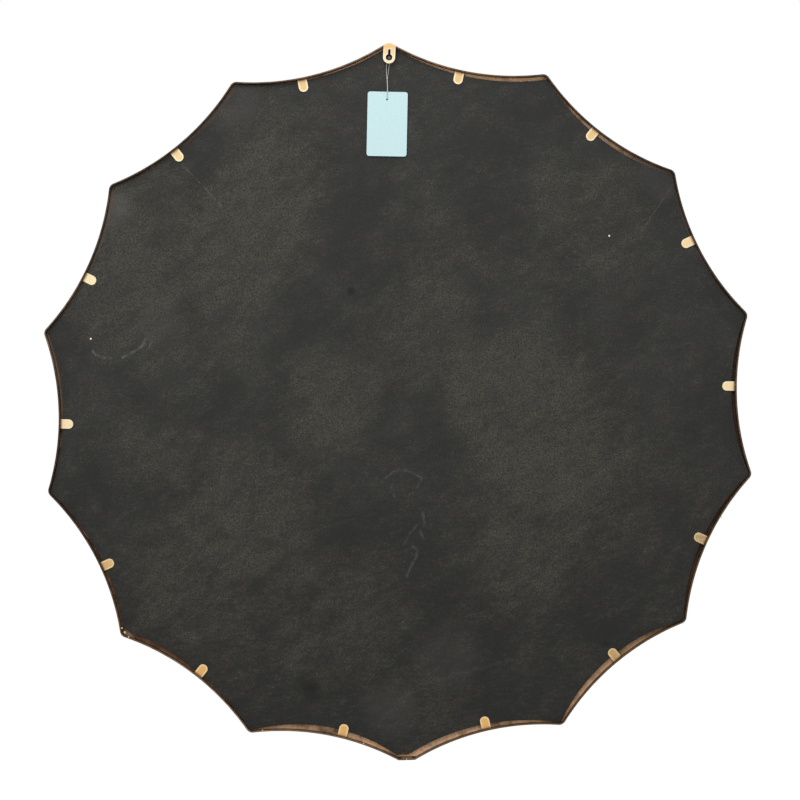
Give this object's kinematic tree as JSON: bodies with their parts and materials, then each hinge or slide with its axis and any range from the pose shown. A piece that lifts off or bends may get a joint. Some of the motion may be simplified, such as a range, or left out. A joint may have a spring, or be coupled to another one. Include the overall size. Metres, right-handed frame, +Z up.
{
  "type": "sunburst wall mirror",
  "caption": "Round wall mirror with a scalloped, pointed brass edge, bevelled glass, a tabbed black back board, a keyhole hanging plate and a blank hanging tag.",
  "frame": {"origin": "centre of the keyhole plate's round hole, on the plate's rear face, which is the wall plane", "axes": "+Z up, +Y towards the wall, the mirror's face looks along -Y, +X to the viewer's right when facing the mirror's front"},
  "size_m": [0.9756, 0.0285, 0.9952],
  "materials": {
    "band_brass": "dark aged brass, brushed",
    "ring_brass": "satin brass",
    "silvered_glass": "silvered float glass with a polished bevel",
    "core_wood": "bare sawn fibre board",
    "board_black": "matt black painted board with rubbed and dusty patches",
    "tab_brass": "satin brass strip",
    "plate_brass": "satin brass plate",
    "tack_steel": "plain steel",
    "thread": "twisted natural thread",
    "tag_card": "pale blue-green matt card"
  },
  "bodies": {
    "mirror": {"rim_band": "band_brass", "band_lap": "band_brass", "face_ring": "ring_brass", "mirror_glass": "silvered_glass", "core_board": "core_wood", "back_board": "board_black", "tab_01": "tab_brass", "tab_02": "tab_brass", "tab_03": "tab_brass", "tab_04": "tab_brass", "tab_05": "tab_brass", "tab_06": "tab_brass", "tab_07": "tab_brass", "tab_08": "tab_brass", "tab_09": "tab_brass", "tab_10": "tab_brass", "tab_11": "tab_brass", "tab_12": "tab_brass", "tab_13": "tab_brass", "tab_14": "tab_brass", "keyhole_plate": "plate_brass", "thread_tack": "tack_steel"},
    "loop": {"thread_loop": "thread"},
    "thread": {"tag_thread": "thread"},
    "tag": {"hang_tag": "tag_card"}
  },
  "joints": [
    {"name": "thread_swing", "type": "hinge", "parent": "mirror", "child": "loop", "pos_m": [0, -0.0068, 0], "axis": [0, 1, 0], "range_deg": [-40, 40]},
    {"name": "thread_lift", "type": "hinge", "parent": "loop", "child": "thread", "pos_m": [0.0034, -0.0064, -0.02775], "axis": [1, 0, 0], "range_deg": [0, 90]},
    {"name": "tag_turn", "type": "hinge", "parent": "thread", "child": "tag", "pos_m": [0.0042, -0.0057, -0.0577], "axis": [0, 1, 0], "range_deg": [-15, 15]}
  ]
}
